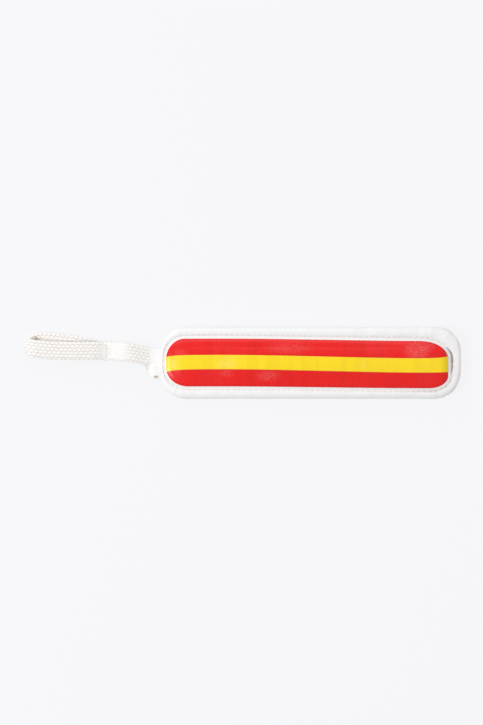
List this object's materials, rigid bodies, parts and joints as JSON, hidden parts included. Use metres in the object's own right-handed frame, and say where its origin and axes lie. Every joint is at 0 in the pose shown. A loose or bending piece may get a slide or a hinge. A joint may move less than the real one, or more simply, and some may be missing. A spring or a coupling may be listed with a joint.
{
  "type": "padded hand baton",
  "caption": "Flat padded hand baton in white leatherette with a red and yellow striped face, a rolled rim and a braided wrist loop.",
  "frame": {"origin": "middle of the pad's outline, on the flat back that the pad rests on", "axes": "+X along the pad, away from the wrist loop; +Y across the pad; +Z out of the striped face"},
  "size_m": [0.2909, 0.048, 0.0131],
  "materials": {
    "white_leatherette": "smooth white coated leatherette, low sheen",
    "red_film": "red heat-bonded film, soft gloss",
    "yellow_film": "yellow heat-bonded film, soft gloss",
    "foam": "open-cell padding foam, hidden inside",
    "stiffener_plastic": "plain plastic sheet, hidden inside",
    "white_thread": "white polyester sewing thread",
    "white_braid": "flat tubular braid, warm white, matte"
  },
  "bodies": {
    "pad": {"face_panel": "white_leatherette", "upper_red_band": "red_film", "yellow_band": "yellow_film", "lower_red_band": "red_film", "back_panel": "white_leatherette", "edge_binding": "white_leatherette", "front_foam": "foam", "back_foam": "foam", "stiffener_board": "stiffener_plastic", "topstitch_thread": "white_thread", "bobbin_thread": "white_thread", "upper_strap_tail": "white_braid", "lower_strap_tail": "white_braid"},
    "loop": {"wrist_loop": "white_braid", "loop_tack_thread": "white_thread"}
  },
  "joints": [
    {"name": "wrist_loop_fold", "type": "hinge", "parent": "pad", "child": "loop", "pos_m": [-0.1043, 0, 0.00535], "axis": [0, 1, 0], "range_deg": [-90, 105]}
  ]
}
